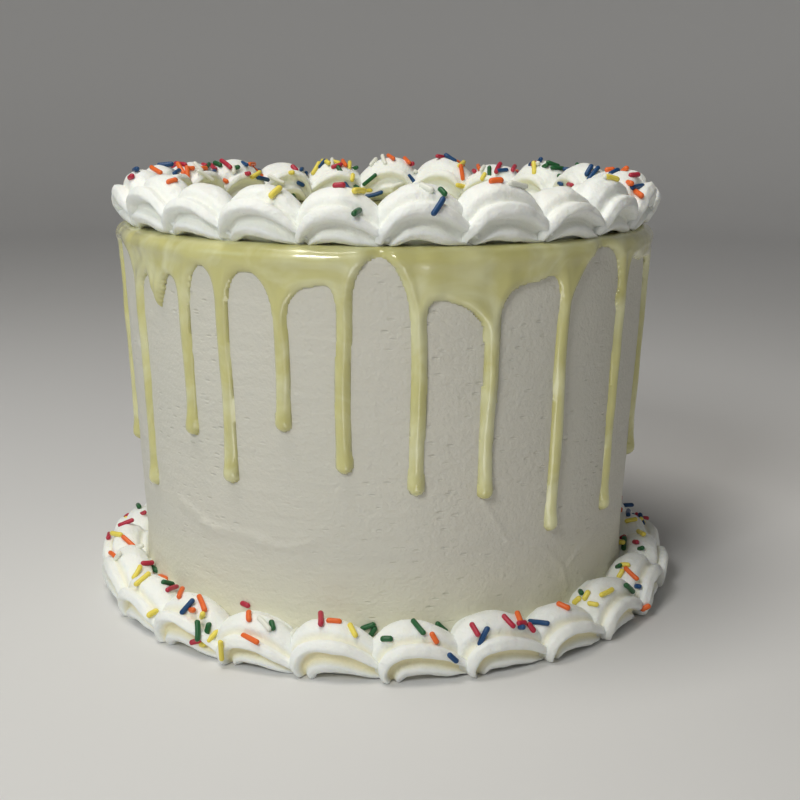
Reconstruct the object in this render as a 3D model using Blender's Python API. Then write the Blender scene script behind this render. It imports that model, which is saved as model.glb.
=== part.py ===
"""Tall confetti cake: buttercream wall, white-chocolate drip and two piped shell borders.

Metres, +Z up, underside of the cake at z = 0, front of the cake towards -Y.
Each border is piped with a six-ridged star nozzle, shell after shell, and carries sprinkles.
"""
import math
import random

import bmesh
import bpy
from mathutils import Matrix, Vector

MM = 0.001

# Cake body
CAKE_HEIGHT = 150 * MM
RIM_RADIUS = 107 * MM
FOOT_RADIUS = 100.5 * MM
FILLET_TOP = 30 * MM
FILLET_REACH = 3.5 * MM
BODY_STEPS = 64

# Drip: a glaze over the top that hangs down the wall
GLAZE_THICKNESS = 1.8 * MM
GLAZE_ROUND = 2.6 * MM
GLAZE_SINK = 1.5 * MM
GLAZE_TOP_DEPTH = 3.5 * MM
EDGE_DEPTH = 1.5 * MM
DRIP_HALF_WIDTH = 2.5 * MM
DRIP_PROUD = 2.1 * MM
BULB_GROWTH = 1.18
DRIP_SIDES = 6
ROOT_FALL = 14 * MM
# Each drip: angle from the front (degrees, + to the right), height of its end above the table,
# half width of its root, and depth of the arch between it and the next drip (mm)
DRIPS = [(-82, 60, 3, 1), (-59, 52, 5, 9), (-50, 130, 4, 8), (-41.5, 79, 4, 4), (-31.5, 64, 4, 5),
         (-19, 86, 5, 9), (-7, 72, 4, 1), (7, 64, 6, 12), (21, 61, 9, 9), (37.5, 44, 4, 1),
         (56.5, 44, 4, 7), (77, 57, 4, 6), (92, 82, 4, 9), (107, 55, 5, 8), (121, 95, 4, 5),
         (136, 62, 6, 11), (150, 76, 4, 7), (166, 48, 5, 3), (181, 90, 4, 9), (196, 66, 6, 12),
         (211, 84, 4, 7), (226, 54, 5, 4), (241, 97, 4, 9), (258, 70, 5, 6)]
# Share of a root's half width on its right, where it differs
RIGHT_ROOTS = {21: 0.5, 37.5: 2.2}

# Piped shells. The star section: angle (0 is the crest, 90 faces outwards) and size of each ridge
# and valley round it, plainer on the side that is hidden against the cake. Along one shell: run of
# the root (mm), lean (degrees), reach and half width (share) of the section, lift of the root (mm)
VALLEY = 0.72
OUTER_STAR = [(0, 1.0), (46, 0.86), (63, 1.07), (88, VALLEY), (119, 0.97), (180, 0.92)]
TOP_STAR = OUTER_STAR + [(245, 0.97), (270, VALLEY), (298, 1.04), (318, 0.87)]
BASE_STAR = OUTER_STAR + [(235, 1.0), (298, 1.0)]
UPPER_RIDGES = OUTER_STAR[0:3:2]
HINGE_DROP = 1.5 * MM
TOP_STATIONS = [(1, 160, 0.42, 0.52, 2), (-0.5, 134, 0.70, 0.88, 1.5), (0.5, 104, 0.92, 1.00, 1),
                (6, 78, 0.96, 1.03, 0), (16, 57, 0.66, 1.02, 0), (24, 46, 0.40, 0.66, 0)]
BASE_STATIONS = [(1, 186, 0.44, 0.60, 0), (0, 150, 0.74, 0.96, 0), (1, 108, 0.97, 1.02, 0),
                 (7, 74, 0.86, 0.96, 0), (16, 58, 0.56, 0.84, 0), (22, 50, 0.28, 0.50, 0)]
UNEVENNESS = 0.1
TOP_RING = {"shells": 23, "first": 5.0, "radius": 99.5 * MM, "floor": CAKE_HEIGHT,
            "reach": 24 * MM, "half_width": 12.5 * MM, "star": TOP_STAR,
            "stations": TOP_STATIONS, "seed": 7}
BASE_RING = {"shells": 24, "first": 5.6, "radius": 110.5 * MM, "floor": 0,
             "reach": 22 * MM, "half_width": 12.2 * MM, "star": BASE_STAR,
             "stations": BASE_STATIONS, "seed": 8}
GAP = 0.3 * MM

# Sprinkles
SPRINKLE_RADIUS = 1.0 * MM
SPRINKLE_LENGTHS = (6 * MM, 9 * MM)
SPRINKLES_A_RING = 21
SPRINKLE_SIDES = 5
SEED = 19


def clear_scene():
    for thing in list(bpy.data.objects):
        bpy.data.objects.remove(thing, do_unlink=True)


def make_material(name, colour, roughness):
    material = bpy.data.materials.new(name)
    material.use_nodes = True
    shader = material.node_tree.nodes["Principled BSDF"]
    shader.inputs["Base Color"].default_value = (*colour, 1)
    shader.inputs["Roughness"].default_value = roughness
    shader.inputs["Metallic"].default_value = 0
    return material


def finish_object(name, bm, material=None, collection=None):
    """Turn a finished bmesh into an object with smooth shading."""
    bmesh.ops.recalc_face_normals(bm, faces=bm.faces)
    mesh = bpy.data.meshes.new(name)
    bm.to_mesh(mesh)
    bm.free()
    mesh.shade_smooth()
    mesh.set_sharp_from_angle(angle=math.radians(50))
    if material:
        mesh.materials.append(material)
    thing = bpy.data.objects.new(name, mesh)
    (collection or bpy.context.scene.collection).objects.link(thing)
    return thing


def start_ring(bm, points):
    """A capped closed ring of vertices, moved to the given points."""
    ring = bmesh.ops.create_circle(bm, cap_ends=True, segments=len(points), radius=MM)["verts"]
    for vertex, point in zip(ring, points):
        vertex.co = point
    return ring


def ring_edges(bm, ring):
    return [bm.edges.get(pair) for pair in zip(ring, ring[1:] + ring[:1])]


def extrude_ring(bm, ring, points):
    """Extrude a ring once and move the new ring to the given points."""
    made = bmesh.ops.extrude_edge_only(bm, edges=ring_edges(bm, ring))["geom"]
    fresh = {item for item in made if isinstance(item, bmesh.types.BMVert)}
    moved = []
    for vertex, point in zip(ring, points):
        twin = next(e.other_vert(vertex) for e in vertex.link_edges if e.other_vert(vertex) in fresh)
        twin.co = point
        moved.append(twin)
    return moved


def loft(rings):
    """One closed solid through a row of rings with equal point counts."""
    bm = bmesh.new()
    ring = start_ring(bm, rings[0])
    for points in rings[1:]:
        ring = extrude_ring(bm, ring, points)
    bmesh.ops.contextual_create(bm, geom=ring_edges(bm, ring))
    return bm


def spin_profile(profile, steps):
    """A turned solid from (radius, height) points that start and end on the axis."""
    bm = bmesh.new()
    points = [bm.verts.new((0, -radius, height)) for radius, height in profile]
    edges = [bm.edges.new(pair) for pair in zip(points, points[1:])]
    bmesh.ops.spin(bm, geom=points + edges, axis=(0, 0, 1), cent=(0, 0, 0),
                   angle=math.tau, steps=steps, use_merge=True)
    bmesh.ops.remove_doubles(bm, verts=bm.verts, dist=0.01 * MM)
    return bm


def polar(radius, angle, height):
    """Point at an angle from the front, + to the right."""
    return Vector((radius * math.sin(angle), -radius * math.cos(angle), height))


def wall_radius(height):
    """Wall of the buttercream: it widens upwards and flares softly at the foot."""
    straight = FOOT_RADIUS + (RIM_RADIUS - FOOT_RADIUS) * height / CAKE_HEIGHT
    flare = max(0.0, 1 - height / FILLET_TOP) ** 2 * FILLET_REACH
    return straight + flare


def drips():
    """Each drip as its angle (radians), end height, root half width and next arch (metres)."""
    return [(math.radians(angle), end * MM, root * MM, arch * MM) for angle, end, root, arch in DRIPS]


def arch_depth(angle):
    """Depth of the arches at an angle, eased from one gap between drips to the next."""
    rows = drips()
    turn = (angle - rows[0][0]) % math.tau
    for index, (start, _, _, arch) in enumerate(rows):
        following = rows[(index + 1) % len(rows)][0]
        span = (following - start) % math.tau
        into = turn - (start - rows[0][0])
        if into <= span:
            before, after = rows[index - 1][3], rows[(index + 1) % len(rows)][3]
            share = into / span
            side = before if share < 0.5 else after
            ease = math.cos(math.pi * min(share, 1 - share)) ** 2 / 2
            return arch * (1 - ease) + side * ease
    return rows[-1][3]


def collar_bottom(angle):
    """Lower edge of the glaze at an angle: arches that sag into each drip's root."""
    depth = GLAZE_ROUND + arch_depth(angle)
    for drip_angle, _, root, _ in DRIPS:
        offset = math.remainder(angle - math.radians(drip_angle), math.tau) * RIM_RADIUS
        half = root * MM * (RIGHT_ROOTS.get(drip_angle, 1) if offset > 0 else 1)
        depth += ROOT_FALL * math.exp(-(abs(offset) / half) ** 1.5)
    return CAKE_HEIGHT - depth


def glaze_section(angle):
    """Outline of the glaze in the upright plane at an angle, from the top round to the inside."""
    low = collar_bottom(angle)
    shoulder = min(low + GLAZE_ROUND, CAKE_HEIGHT - GLAZE_ROUND - 0.3 * MM)
    outline = [(RIM_RADIUS - GLAZE_ROUND * 2, CAKE_HEIGHT),
               (RIM_RADIUS + GLAZE_THICKNESS - GLAZE_ROUND * 0.6, CAKE_HEIGHT - 0.5 * MM),
               (RIM_RADIUS + GLAZE_THICKNESS, CAKE_HEIGHT - GLAZE_ROUND),
               (wall_radius(low) + GLAZE_THICKNESS, shoulder),
               (wall_radius(low) + 0.2 * MM, low),
               (wall_radius(low) - GLAZE_SINK, shoulder),
               (RIM_RADIUS - GLAZE_ROUND * 2, CAKE_HEIGHT - GLAZE_TOP_DEPTH)]
    return [polar(radius, angle, height) for radius, height in outline]


def build_glaze(collection):
    """The collar is lofted all round as a ring, and closed on itself."""
    bm = bmesh.new()
    angles = [math.tau * step / BODY_STEPS for step in range(BODY_STEPS)]
    ring = first = start_ring(bm, glaze_section(angles[0]))
    for angle in angles[1:]:
        ring = extrude_ring(bm, ring, glaze_section(angle))
    cap = [face for face in bm.faces if len(face.verts) == len(first)]
    bmesh.ops.delete(bm, geom=cap, context="FACES_ONLY")
    bmesh.ops.bridge_loops(bm, edges=ring_edges(bm, ring) + ring_edges(bm, first))
    return finish_object("glaze", bm, collection=collection)


def drip_section(angle, height, half_width, proud):
    """Level cross section of a drip, half sunk in the wall."""
    points = []
    for side in range(DRIP_SIDES):
        turn = math.tau * side / DRIP_SIDES
        across = half_width * math.cos(turn)
        out = proud * math.sin(turn) - (1.0 * MM if math.sin(turn) < 0 else 0)
        points.append(polar(wall_radius(height) + out, angle + across / RIM_RADIUS, height))
    return points


def build_drip(index, angle, end, collection):
    half, proud = DRIP_HALF_WIDTH, DRIP_PROUD
    bulb = half * BULB_GROWTH
    rings = [drip_section(angle, CAKE_HEIGHT - GLAZE_ROUND * 3, half, proud * 0.7),
             drip_section(angle, end + 3 * bulb, half, proud * 0.8),
             drip_section(angle, end + bulb, bulb, proud * BULB_GROWTH),
             drip_section(angle, end, bulb * 0.4, proud * 0.5)]
    finish_object(f"drip_{index}", loft(rings), collection=collection)


def shell_rows(ring, index):
    """Stations of one shell, slightly uneven: run, lean, reach, half width, twist, lift."""
    draw = random.Random(SEED + index)
    tall = ring["reach"] * (1 + draw.uniform(-UNEVENNESS, UNEVENNESS))
    wide = ring["half_width"] * (1 + draw.uniform(-UNEVENNESS, UNEVENNESS) / 2)
    stretch = 1 + draw.uniform(-UNEVENNESS, UNEVENNESS)
    twist = math.radians(draw.uniform(-9, 9))
    return [(run * MM * stretch, math.radians(lean), tall * share, wide * width, twist, lift * MM)
            for run, lean, share, width, lift in ring["stations"]]


def shell_point(row, around, size):
    """Point on a shell as (along the ring, outwards, up), at a corner of its star section."""
    run, lean, reach, half_width, twist, lift = row
    distance = reach / 2 * (1 + size * math.cos(around + twist)) + 0.3 * MM
    outwards = half_width * size * math.sin(around + twist)
    up = distance * math.sin(lean) - HINGE_DROP + lift
    return run + distance * math.cos(lean), outwards, up


def on_ring(place, ring_radius, angle, floor):
    """Bend a shell's own coordinates round the border's ring."""
    along, outwards, up = place
    return polar(ring_radius + outwards, angle + along / ring_radius, floor + up)


def build_shell(name, ring, index, collection):
    radius, angle, floor = ring["radius"], shell_angle(ring, index), ring["floor"]
    rings = []
    for row in shell_rows(ring, index):
        rings.append([on_ring(shell_point(row, math.radians(turn), size), radius, angle, floor)
                      for turn, size in ring["star"]])
    return finish_object(name, loft(rings), collection=collection)


def shell_angle(ring, index):
    return math.radians(ring["first"]) + math.tau * index / ring["shells"]


def sprinkle_place(ring, index, draw):
    """Spot on a ridge of a shell's upper side, with the direction that points out of it."""
    shell = (index * 7) % ring["shells"]
    row = shell_rows(ring, shell)[draw.choice((2, 3, 4))]
    ridge, size = draw.choice(UPPER_RIDGES)
    angle = shell_angle(ring, shell)
    spot = on_ring(shell_point(row, math.radians(ridge), size), ring["radius"], angle,
                   ring["floor"])
    core = on_ring((row[0], 0, 0.4 * ring["reach"]), ring["radius"], angle, ring["floor"])
    return spot, (spot - core).normalized()


def build_sprinkle(name, ring, index, draw, collection):
    """A short rod with rounded ends, laid on the icing and slightly sunk in it."""
    bm = bmesh.new()
    length = draw.uniform(*SPRINKLE_LENGTHS)
    bmesh.ops.create_uvsphere(bm, u_segments=SPRINKLE_SIDES, v_segments=3, radius=SPRINKLE_RADIUS)
    for vertex in bm.verts:
        vertex.co.z += math.copysign(length / 2 - SPRINKLE_RADIUS, vertex.co.z)
    spot, outwards = sprinkle_place(ring, index, draw)
    heading = outwards.orthogonal().normalized()
    turn = Matrix.Rotation(draw.uniform(0, math.tau), 4, outwards)
    axis = (turn @ heading + outwards * draw.uniform(-0.1, 0.25)).normalized()
    lie = axis.to_track_quat("Z", "Y").to_matrix().to_4x4()
    bmesh.ops.transform(bm, matrix=Matrix.Translation(spot) @ lie, verts=bm.verts)
    finish_object(name, bm, collection=collection)


def apply_modifiers(thing):
    evaluated = thing.evaluated_get(bpy.context.evaluated_depsgraph_get())
    thing.data = bpy.data.meshes.new_from_object(evaluated)
    thing.modifiers.clear()


def fuse(thing, collection):
    """Join every object of a collection to one object, then remove the collection's objects."""
    union = thing.modifiers.new("join", "BOOLEAN")
    union.operation = "UNION"
    union.operand_type = "COLLECTION"
    union.collection = collection
    union.solver = "MANIFOLD"
    apply_modifiers(thing)
    for part in list(collection.objects):
        bpy.data.objects.remove(part, do_unlink=True)


def trim(thing, cutter):
    """Cut an object clear of its neighbour, and drop the loose scraps that the cut leaves."""
    cut = thing.modifiers.new("trim", "BOOLEAN")
    cut.operation = "DIFFERENCE"
    cut.object = cutter
    cut.solver = "MANIFOLD"
    apply_modifiers(thing)
    bpy.data.objects.remove(cutter, do_unlink=True)
    bm = bmesh.new()
    bm.from_mesh(thing.data)
    pieces = separate_pieces(bm)
    scraps = [vertex for piece in pieces[1:] for vertex in piece]
    bmesh.ops.delete(bm, geom=scraps, context="VERTS")
    bm.to_mesh(thing.data)
    bm.free()


def separate_pieces(bm):
    """Vertices of each loose piece, largest piece first."""
    waiting = set(bm.verts)
    pieces = []
    while waiting:
        front = [waiting.pop()]
        piece = []
        while front:
            vertex = front.pop()
            piece.append(vertex)
            joined = {edge.other_vert(vertex) for edge in vertex.link_edges} & waiting
            waiting -= joined
            front.extend(joined)
        pieces.append(piece)
    return sorted(pieces, key=len, reverse=True)


def new_collection(name):
    collection = bpy.data.collections.new(name)
    bpy.context.scene.collection.children.link(collection)
    return collection


def build_cake(material):
    heights = [0, 8 * MM, 18 * MM, FILLET_TOP, CAKE_HEIGHT - EDGE_DEPTH]
    wall = [(wall_radius(height), height) for height in heights]
    edge = [(RIM_RADIUS - 2 * MM, CAKE_HEIGHT - 0.5 * MM), (RIM_RADIUS - 6 * MM, CAKE_HEIGHT)]
    profile = [(0, 0)] + wall + edge + [(0, CAKE_HEIGHT)]
    cake = finish_object("cake", spin_profile(profile, BODY_STEPS), material)
    toppings = new_collection("drips")
    build_glaze(toppings)
    for index, (angle, end, _, _) in enumerate(drips()):
        build_drip(index, angle, end, toppings)
    fuse(cake, toppings)


def build_border(name, ring, material, cutter):
    """A ring of overlapping shells with sprinkles, trimmed clear of what it stands on."""
    pieces = new_collection(f"{name}_pieces")
    border = build_shell(name, ring, 0, bpy.context.scene.collection)
    border.data.materials.append(material)
    for index in range(1, ring["shells"]):
        build_shell(f"{name}_shell_{index}", ring, index, pieces)
    draw = random.Random(ring["seed"])
    for index in range(SPRINKLES_A_RING):
        build_sprinkle(f"{name}_sprinkle_{index}", ring, index, draw, pieces)
    fuse(border, pieces)
    trim(border, cutter)


def top_cutter():
    reach, plane = 150 * MM, CAKE_HEIGHT + GAP
    profile = [(0, plane - 30 * MM), (reach, plane - 30 * MM), (reach, plane), (0, plane)]
    return finish_object("top_trim", spin_profile(profile, BODY_STEPS))


def base_cutter():
    """The cake's wall, a gap wider, on a thick plate under the border."""
    reach, depth = 160 * MM, -20 * MM
    wall = [(wall_radius(height) + GAP, height) for height in (0, 8 * MM, 18 * MM, FILLET_TOP)]
    above = 60 * MM
    profile = [(0, depth), (reach, depth), (reach, 0)] + wall
    profile += [(wall_radius(above) + GAP, above), (0, above)]
    return finish_object("base_trim", spin_profile(profile, BODY_STEPS))


def main():
    clear_scene()
    icing = make_material("buttercream", (0.86, 0.84, 0.77), 0.55)
    piped = make_material("piped_buttercream", (0.90, 0.88, 0.80), 0.6)
    build_cake(icing)
    build_border("top_border", TOP_RING, piped, top_cutter())
    build_border("base_border", BASE_RING, piped, base_cutter())


main()
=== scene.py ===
# %% [markdown]
# # A tall confetti cake with a drip and two piped borders
#
# The cake is a high round of buttercream. A pale chocolate glaze lies over the top and
# runs down the wall in drips, and a star nozzle has piped a ring of shells on the rim and
# another round the foot. Coloured sugar sprinkles lie on both rings.
#
# Everything is made in metres with +Z up, the underside at z = 0 and the front of the cake
# towards -Y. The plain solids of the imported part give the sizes, and the pieces made here
# take their place.

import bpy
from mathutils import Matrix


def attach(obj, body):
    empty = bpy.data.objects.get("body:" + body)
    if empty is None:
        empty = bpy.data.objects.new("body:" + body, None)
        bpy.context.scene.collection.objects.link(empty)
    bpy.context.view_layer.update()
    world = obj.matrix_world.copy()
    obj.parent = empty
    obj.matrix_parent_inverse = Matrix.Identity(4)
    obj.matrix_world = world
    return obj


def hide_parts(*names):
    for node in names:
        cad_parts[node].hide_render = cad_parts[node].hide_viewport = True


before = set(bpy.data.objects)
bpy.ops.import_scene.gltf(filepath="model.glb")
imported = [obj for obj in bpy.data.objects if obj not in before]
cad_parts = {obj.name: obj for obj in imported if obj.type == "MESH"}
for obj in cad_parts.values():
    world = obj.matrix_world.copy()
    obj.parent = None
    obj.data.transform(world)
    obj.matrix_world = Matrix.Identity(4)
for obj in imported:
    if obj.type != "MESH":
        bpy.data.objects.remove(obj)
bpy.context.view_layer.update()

# %% Tools used below
import math
import random

import bmesh
import bpy
import numpy as np
from mathutils import Matrix, Vector, noise
from mathutils.bvhtree import BVHTree

MM = 0.001
SEED = 19
print("tools ready, one millimetre is", MM, "m")

# %% [markdown]
# ## Where the picture was taken from
#
# The camera stands in front of the cake, a little above its rim, and looks slightly down.
# It comes first because the marks on the wall and many of the sprinkles were read off the
# picture: a spot in the picture is a direction from the camera, and the first surface in
# that direction carries the thing that is seen there.

# %% The camera's place and turn
PICTURE_SIDE = 800
FOCAL_PIXELS = 1250
SENSOR_WIDTH = 36
STAND = Vector((0.0066, -0.521, 0.1995))
PITCH = math.radians(13.6)
ROLL = math.radians(0.38)

AHEAD = Vector((0, math.cos(PITCH), -math.sin(PITCH)))
LEVEL_RIGHT = Vector((1, 0, 0))
LEVEL_UP = LEVEL_RIGHT.cross(AHEAD)
RIGHT = LEVEL_RIGHT * math.cos(ROLL) + LEVEL_UP * math.sin(ROLL)
UP = LEVEL_UP * math.cos(ROLL) - LEVEL_RIGHT * math.sin(ROLL)


def sight(x, y):
    """Direction from the camera to a spot of the picture, in pixels from its top left."""
    half = PICTURE_SIDE / 2
    return (AHEAD + RIGHT * ((x - half) / FOCAL_PIXELS) + UP * ((half - y) / FOCAL_PIXELS)).normalized()


camera_data = bpy.data.cameras.new("camera")
camera_data.sensor_width = SENSOR_WIDTH
camera_data.lens = FOCAL_PIXELS * SENSOR_WIDTH / PICTURE_SIDE
camera_data.clip_start = 10 * MM
camera = bpy.data.objects.new("camera", camera_data)
bpy.context.scene.collection.objects.link(camera)
camera.matrix_world = Matrix.Translation(STAND) @ Matrix((RIGHT, UP, -AHEAD)).transposed().to_4x4()
bpy.context.scene.camera = camera
print("lens", round(camera_data.lens, 1), "mm,", round(STAND.length, 3), "m from the foot")

# %% [markdown]
# ## Helpers for shapes
#
# Sheets are the easiest way to a fine surface: a flat grid of cells whose corners are moved
# to their places on the cake. The seam is then merged and the open ends are filled, which
# gives a closed skin with even cells.


# %% Sheets, poles and finished pieces
def polar(radius, angle, height):
    """Point at an angle from the front, + to the right."""
    return Vector((radius * math.sin(angle), -radius * math.cos(angle), height))


def sheet(columns, rows, attribute=None):
    """A flat grid as a bmesh, with its corners listed row by row."""
    bm = bmesh.new()
    if attribute:
        bm.verts.layers.float.new(attribute)
    made = bmesh.ops.create_grid(bm, x_segments=columns, y_segments=rows, size=0.5)["verts"]
    order = sorted(made, key=lambda vert: (round(vert.co.y * rows), round(vert.co.x * columns)))
    return bm, np.array(order, dtype=object).reshape(rows + 1, columns + 1)


def close_up(bm, gap=0.002 * MM):
    """Merge the seam, fill what is still open and turn every face outwards."""
    bmesh.ops.remove_doubles(bm, verts=bm.verts, dist=gap)
    rim = [edge for edge in bm.edges if edge.is_boundary]
    if rim:
        bmesh.ops.holes_fill(bm, edges=rim, sides=0)
    bmesh.ops.recalc_face_normals(bm, faces=bm.faces)


def finish_piece(name, bm):
    """A smooth-shaded object at the origin."""
    mesh = bpy.data.meshes.new(name)
    bm.to_mesh(mesh)
    bm.free()
    mesh.shade_smooth()
    piece = bpy.data.objects.new(name, mesh)
    bpy.context.scene.collection.objects.link(piece)
    triangles = sum(len(face.vertices) - 2 for face in mesh.polygons)
    print(f"{name}: {triangles} triangles")
    return piece


def gentle_noise(point, grain):
    """Smooth noise from -1 to 1 whose lumps are about one grain wide."""
    return noise.noise(Vector(point) / grain)


# %% [markdown]
# ## The buttercream wall
#
# The wall was smoothed with a scraper while the cake turned. It is a little wider at the rim
# than lower down, flares out softly at its foot, and carries what the scraper leaves
# behind: broad waves, level streaks, small nicks and a few raised seams. A sheet wrapped
# round its profile gives the round, and the marks are pressed in along the radius.

# %% Sizes of the wall
CAKE_HEIGHT = 150 * MM
RIM_RADIUS = 107 * MM
FOOT_RADIUS = 100.5 * MM
FILLET_TOP = 30 * MM
FILLET_REACH = 3.5 * MM
ICING_TOP = CAKE_HEIGHT - 1 * MM
CORNER = 3 * MM
WALL_STEPS = 620
WALL_ROWS = 146


def wall_radius(height):
    """Radius of the wall at one height or at an array of heights."""
    straight = FOOT_RADIUS + (RIM_RADIUS - FOOT_RADIUS) * height / CAKE_HEIGHT
    return straight + np.maximum(0.0, 1 - height / FILLET_TOP) ** 2 * FILLET_REACH


def rim_turn(count):
    """The rounded edge between the flat top and the wall, from the top downwards."""
    centre = RIM_RADIUS - CORNER
    return [(centre + CORNER * math.sin(a), ICING_TOP - CORNER + CORNER * math.cos(a))
            for a in np.linspace(0, math.pi / 2, count)]


print("wall", round(2000 * float(wall_radius(0.0))), "mm across at the foot")

# %% Wrap a sheet round the profile
upright = [(float(wall_radius(height)), height)
           for height in np.linspace(0, ICING_TOP - CORNER, WALL_ROWS)]
profile = [(0, 0)] + upright + rim_turn(5)[::-1][1:] + [(80 * MM, ICING_TOP), (0, ICING_TOP)]
wall_bm, wall_grid = sheet(WALL_STEPS, len(profile) - 1)
for row, (radius, level) in enumerate(profile):
    for column in range(WALL_STEPS + 1):
        wall_grid[row, column].co = polar(radius, math.tau * (column % WALL_STEPS) / WALL_STEPS, level)
close_up(wall_bm)
wall_tree = BVHTree.FromBMesh(wall_bm)
print("wall cells are", round(math.tau * 107 / WALL_STEPS, 2), "mm wide")

# %% [markdown]
# ### Marks of the scraper
#
# Each mark is a line on the wall, given by the spots of the picture that it runs through.
# A ridge stands out on both sides of its line, a nick goes in, and a ledge is a step that
# fades away below its line, where the scraper dragged the icing over.

# %% Marks read off the picture: kind, height and half width (mm), and the line's spots
WALL_MARKS = [
    ("ridge", 0.50, 0.8, [(484, 502), (496, 522), (508, 541), (545, 548), (562, 566), (567, 588)]),
    ("ridge", 0.45, 0.8, [(567, 566), (580, 548), (596, 530)]),
    ("ridge", 0.40, 0.9, [(618, 330), (616, 400), (613, 470)]),
    ("ledge", 0.7, 2.5, [(205, 520), (232, 528), (262, 536)]),
    ("ledge", 0.6, 2.2, [(262, 541), (290, 545), (309, 540)]),
    ("ridge", 0.30, 0.8, [(296, 540), (306, 537)]),
    ("ledge", 0.65, 3.0, [(184, 499), (200, 512), (216, 526)]),
    ("nick", 0.9, 2.2, [(139, 338), (145, 342)]),
    ("ledge", 0.35, 2.5, [(131, 300), (137, 360), (143, 430)]),
    ("ridge", 0.30, 0.9, [(141, 330), (148, 400), (155, 470)]),
]
NICKS = 90
NICK_DEPTH = 0.22 * MM
NICK_HALF_WIDTH = 0.7 * MM
# Uneven layers of the wall: width of the lumps (mm), their height (mm) and how flat they are
WALL_LAYERS = ((38, 0.45, 1), (16, 0.12, 5), (3.5, 0.06, 1))
CALM_FOOT = 8 * MM


def on_wall(x, y):
    """Distance round the wall and height of the spot seen at a place of the picture."""
    spot = wall_tree.ray_cast(STAND, sight(x, y))[0]
    return math.atan2(spot.x, -spot.y) * RIM_RADIUS, spot.z


def offset_from_line(around, height, line):
    """Distance to a line of spots, and how far below it, for arrays of places on the wall."""
    nearest = np.full(around.shape, 1.0)
    below = np.zeros(around.shape)
    for (a0, h0), (a1, h1) in zip(line, line[1:]):
        run, rise = a1 - a0, h1 - h0
        share = np.clip(((around - a0) * run + (height - h0) * rise) / (run ** 2 + rise ** 2), 0, 1)
        distance = np.hypot(around - a0 - share * run, height - h0 - share * rise)
        side = ((around - a0) * rise - (height - h0) * run) / math.hypot(run, rise)
        closer = distance < nearest
        nearest = np.where(closer, distance, nearest)
        below = np.where(closer, side, below)
    return nearest, below


def mark_height(kind, tall, width, nearest, below):
    """Relief of one mark, from the distance to its line."""
    if kind == "ledge":
        fade = np.clip(1 - nearest / (2 * width), 0, 1)
        return tall * fade * np.clip(0.5 + below / (0.4 * width), 0, 1)
    bump = tall * np.exp(-(nearest / width) ** 2)
    return -bump if kind == "nick" else bump


print(len(WALL_MARKS), "marks and", NICKS, "small nicks")

# %% Press the relief into the wall
wall_points = [vert for vert in wall_bm.verts if math.hypot(vert.co.x, vert.co.y) > 96 * MM]
around = np.array([math.atan2(vert.co.x, -vert.co.y) * RIM_RADIUS for vert in wall_points])
height = np.array([vert.co.z for vert in wall_points])
relief = np.zeros(len(wall_points))
for kind, tall, width, spots in WALL_MARKS:
    nearest, below = offset_from_line(around, height, [on_wall(*spot) for spot in spots])
    relief += mark_height(kind, tall * MM, width * MM, nearest, below)

draw = random.Random(SEED)
for _ in range(NICKS):
    start = draw.uniform(-math.pi, math.pi) * RIM_RADIUS
    level = draw.uniform(20, 120) * MM
    run = draw.uniform(2, 7) * MM
    tilt = draw.uniform(-0.8, 0.8) * MM
    nearest, _ = offset_from_line(around, height, [(start, level), (start + run, level + tilt)])
    relief += draw.choice((-1, 1, 1)) * NICK_DEPTH * np.exp(-(nearest / NICK_HALF_WIDTH) ** 2)

for vert, marks in zip(wall_points, relief):
    x, y, z = vert.co
    uneven = sum(gentle_noise((x, y, z * flat), grain * MM) * tall * MM
                 for grain, tall, flat in WALL_LAYERS)
    outwards = Vector((x, y, 0)).normalized()
    vert.co += outwards * (uneven + marks) * min(1.0, z / CALM_FOOT)
print("relief from", round(relief.min() * 1000, 2), "to", round(relief.max() * 1000, 2), "mm")
buttercream_wall = finish_piece("buttercream_wall", wall_bm)

# %% [markdown]
# ## The glaze and its drips
#
# Warm white chocolate was poured on the top and pushed over the edge. It sets about two
# millimetres thick: a collar with rounded arches, and drips that end in small bulbs.
# One skin covers the whole top and hangs over the rim. Its thickness comes from the
# distance to the glaze's edge, which rounds every rim in the same way, and the smooth union
# of the collar with each drip gives the soft webs between them. The skin's edge is sunk in
# the wall, and a thin backing behind it makes it a closed shell.

# %% Sizes of the glaze
GLAZE_THICKNESS = 1.8 * MM
GLAZE_ROUND = 2.6 * MM
GLAZE_EDGE = 2.4 * MM
TOP_THICKNESS = 1.0 * MM
SHOULDER_THICKNESS = 2.3 * MM
ROOT_FALL = 14 * MM
DRIP_HALF_WIDTH = 2.65 * MM
BULB_HALF_WIDTH = 3.1 * MM
WEB = 2.4 * MM
# Beads where two strands met: a spot of the picture and a half width (mm)
BEADS = [(619, 297, 2.8)]
# Each drip: angle from the front (degrees, + to the right), height of its end above the floor,
# half width of its root, and depth of the arch between it and the next drip (mm)
DRIPS = [(-82, 60, 3, 1), (-59, 52, 5, 9), (-50, 130, 4, 8), (-41.5, 79, 4, 4), (-31.5, 64, 4, 5),
         (-19, 86, 5, 9), (-7, 72, 4, -2), (7, 64, 6, 12), (21, 61, 9, 9), (37.5, 44, 4, -2),
         (56.5, 44, 4, 7), (77, 57, 4, 6), (92, 82, 4, 9), (107, 55, 5, 8), (121, 95, 4, 5),
         (136, 62, 6, 11), (150, 76, 4, 7), (166, 48, 5, 3), (181, 90, 4, 9), (196, 66, 6, 12),
         (211, 84, 4, 7), (226, 54, 5, 4), (241, 97, 4, 9), (258, 70, 5, 6)]
# Share of a root's half width on its right, where it differs
RIGHT_ROOTS = {21: 0.5, 37.5: 2.2}


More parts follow.
